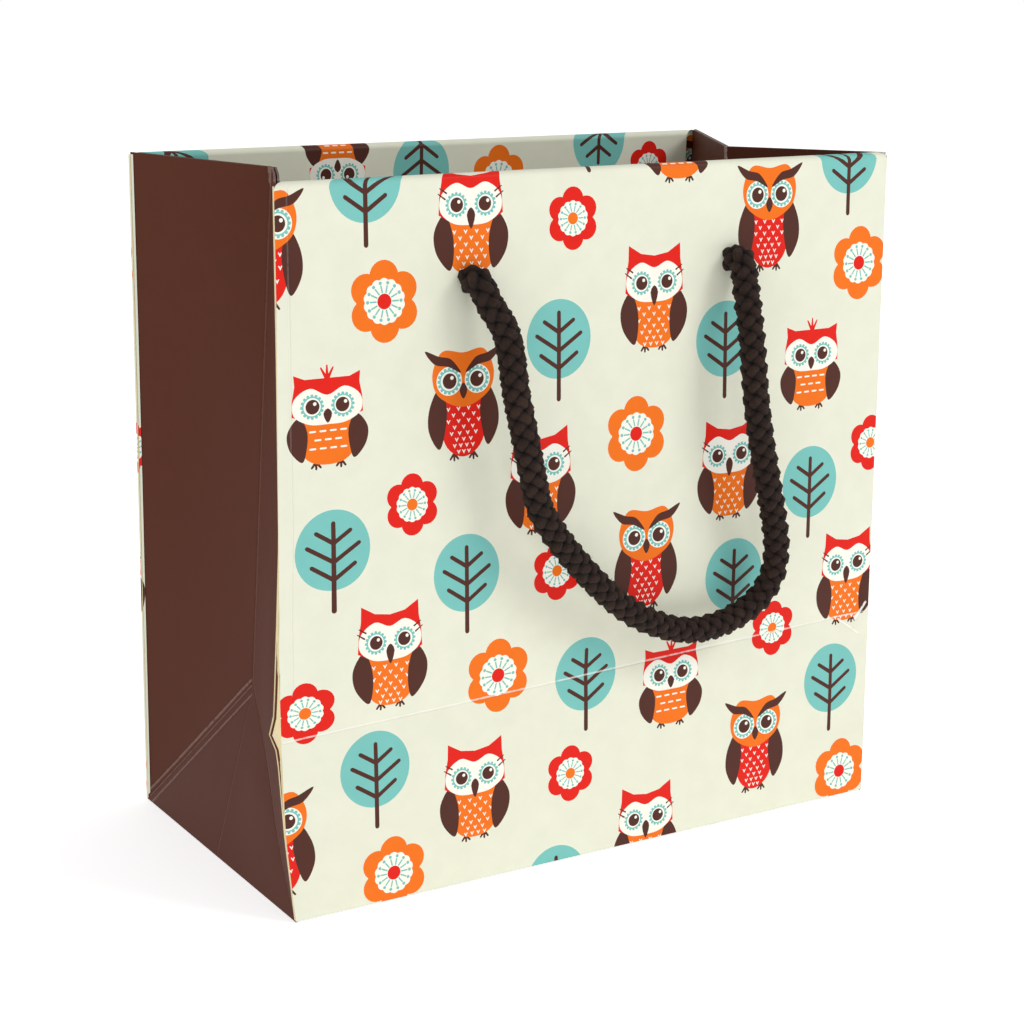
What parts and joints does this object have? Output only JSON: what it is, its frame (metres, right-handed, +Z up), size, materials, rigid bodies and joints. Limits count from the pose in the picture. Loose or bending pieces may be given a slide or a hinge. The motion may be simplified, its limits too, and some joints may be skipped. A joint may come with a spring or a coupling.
{
  "type": "paper gift bag",
  "caption": "Small square paper gift bag standing open, with side gussets creased inwards, glued base, reinforced hems and soft cord handles knotted inside.",
  "frame": {"origin": "centre of the base, on the surface the bag stands on", "axes": "+X across the printed panels to the bag's right as seen from the front, -Y towards the front, +Z up"},
  "size_m": [0.1398, 0.093, 0.14],
  "materials": {
    "printed_paper": "semi-gloss coated, printed",
    "gusset_paper": "semi-gloss coated, solid colour",
    "greyboard": "matte",
    "braided_cord": "fuzzy braid"
  },
  "bodies": {
    "base": {"bottom_flap_back": "printed_paper", "bottom_flap_front": "printed_paper", "bottom_flap_left": "gusset_paper", "bottom_flap_right": "gusset_paper", "base_board": "greyboard"},
    "front": {"front_panel": "printed_paper", "front_top_board": "greyboard", "front_hem": "printed_paper", "front_left_knot": "braided_cord", "front_right_knot": "braided_cord"},
    "back": {"back_panel": "printed_paper", "back_top_board": "greyboard", "back_hem": "printed_paper", "back_left_knot": "braided_cord", "back_right_knot": "braided_cord"},
    "front_handle": {"front_handle_cord": "braided_cord"},
    "back_handle": {"back_handle_cord": "braided_cord"},
    "left_gusset": {"left_gusset_triangle": "gusset_paper", "left_gusset_back_inner": "gusset_paper", "left_gusset_front_inner": "gusset_paper", "left_hem_back_inner": "gusset_paper", "left_hem_front_inner": "gusset_paper"},
    "left_gusset_back": {"left_gusset_back_outer": "gusset_paper", "left_hem_back_outer": "gusset_paper"},
    "left_gusset_front": {"left_gusset_front_outer": "gusset_paper", "left_hem_front_outer": "gusset_paper"},
    "right_gusset": {"right_gusset_triangle": "gusset_paper", "right_gusset_front_inner": "gusset_paper", "right_gusset_back_inner": "gusset_paper", "right_hem_front_inner": "gusset_paper", "right_hem_back_inner": "gusset_paper"},
    "right_gusset_front": {"right_gusset_front_outer": "gusset_paper", "right_hem_front_outer": "gusset_paper"},
    "right_gusset_back": {"right_gusset_back_outer": "gusset_paper", "right_hem_back_outer": "gusset_paper"}
  },
  "joints": [
    {"name": "front_lean", "type": "hinge", "parent": "base", "child": "front", "pos_m": [0, -0.037, 0], "axis": [-1, 0, 0], "range_deg": [0, 5.6]},
    {"name": "back_lean", "type": "hinge", "parent": "base", "child": "back", "pos_m": [0, 0.037, 0], "axis": [1, 0, 0], "range_deg": [0, 5.6]},
    {"name": "left_gusset_lean", "type": "hinge", "parent": "base", "child": "left_gusset", "pos_m": [-0.07, 0, 0], "axis": [0, 1, 0], "range_deg": [0, 6.46]},
    {"name": "right_gusset_lean", "type": "hinge", "parent": "base", "child": "right_gusset", "pos_m": [0.07, 0, 0], "axis": [0, -1, 0], "range_deg": [0, 6.46]},
    {"name": "left_back_fold", "type": "hinge", "parent": "left_gusset", "child": "left_gusset_back", "pos_m": [-0.07, 0.037, 0], "axis": [0.1071, -0.2555, 0.9608], "range_deg": [0, 33.87]},
    {"name": "left_front_fold", "type": "hinge", "parent": "left_gusset", "child": "left_gusset_front", "pos_m": [-0.07, -0.037, 0], "axis": [-0.1071, -0.2555, -0.9608], "range_deg": [0, 33.87]},
    {"name": "right_front_fold", "type": "hinge", "parent": "right_gusset", "child": "right_gusset_front", "pos_m": [0.07, -0.037, 0], "axis": [-0.1071, 0.2555, 0.9608], "range_deg": [0, 33.87]},
    {"name": "right_back_fold", "type": "hinge", "parent": "right_gusset", "child": "right_gusset_back", "pos_m": [0.07, 0.037, 0], "axis": [0.1071, 0.2555, -0.9608], "range_deg": [0, 33.87]},
    {"name": "front_handle_swing", "type": "hinge", "parent": "front", "child": "front_handle", "pos_m": [0, -0.03766, 0.12035], "axis": [-1, 0, 0], "range_deg": [0, 150]},
    {"name": "back_handle_swing", "type": "hinge", "parent": "back", "child": "back_handle", "pos_m": [0, 0.03766, 0.12035], "axis": [1, 0, 0], "range_deg": [0, 150]}
  ],
  "couplings": [
    {"joint": "back_lean", "follows": "front_lean", "ratio": 1},
    {"joint": "left_gusset_lean", "follows": "front_lean", "ratio": 1.1536},
    {"joint": "right_gusset_lean", "follows": "front_lean", "ratio": 1.1536},
    {"joint": "left_back_fold", "follows": "front_lean", "ratio": 6.0466},
    {"joint": "left_front_fold", "follows": "front_lean", "ratio": 6.0466},
    {"joint": "right_front_fold", "follows": "front_lean", "ratio": 6.0466},
    {"joint": "right_back_fold", "follows": "front_lean", "ratio": 6.0466}
  ]
}
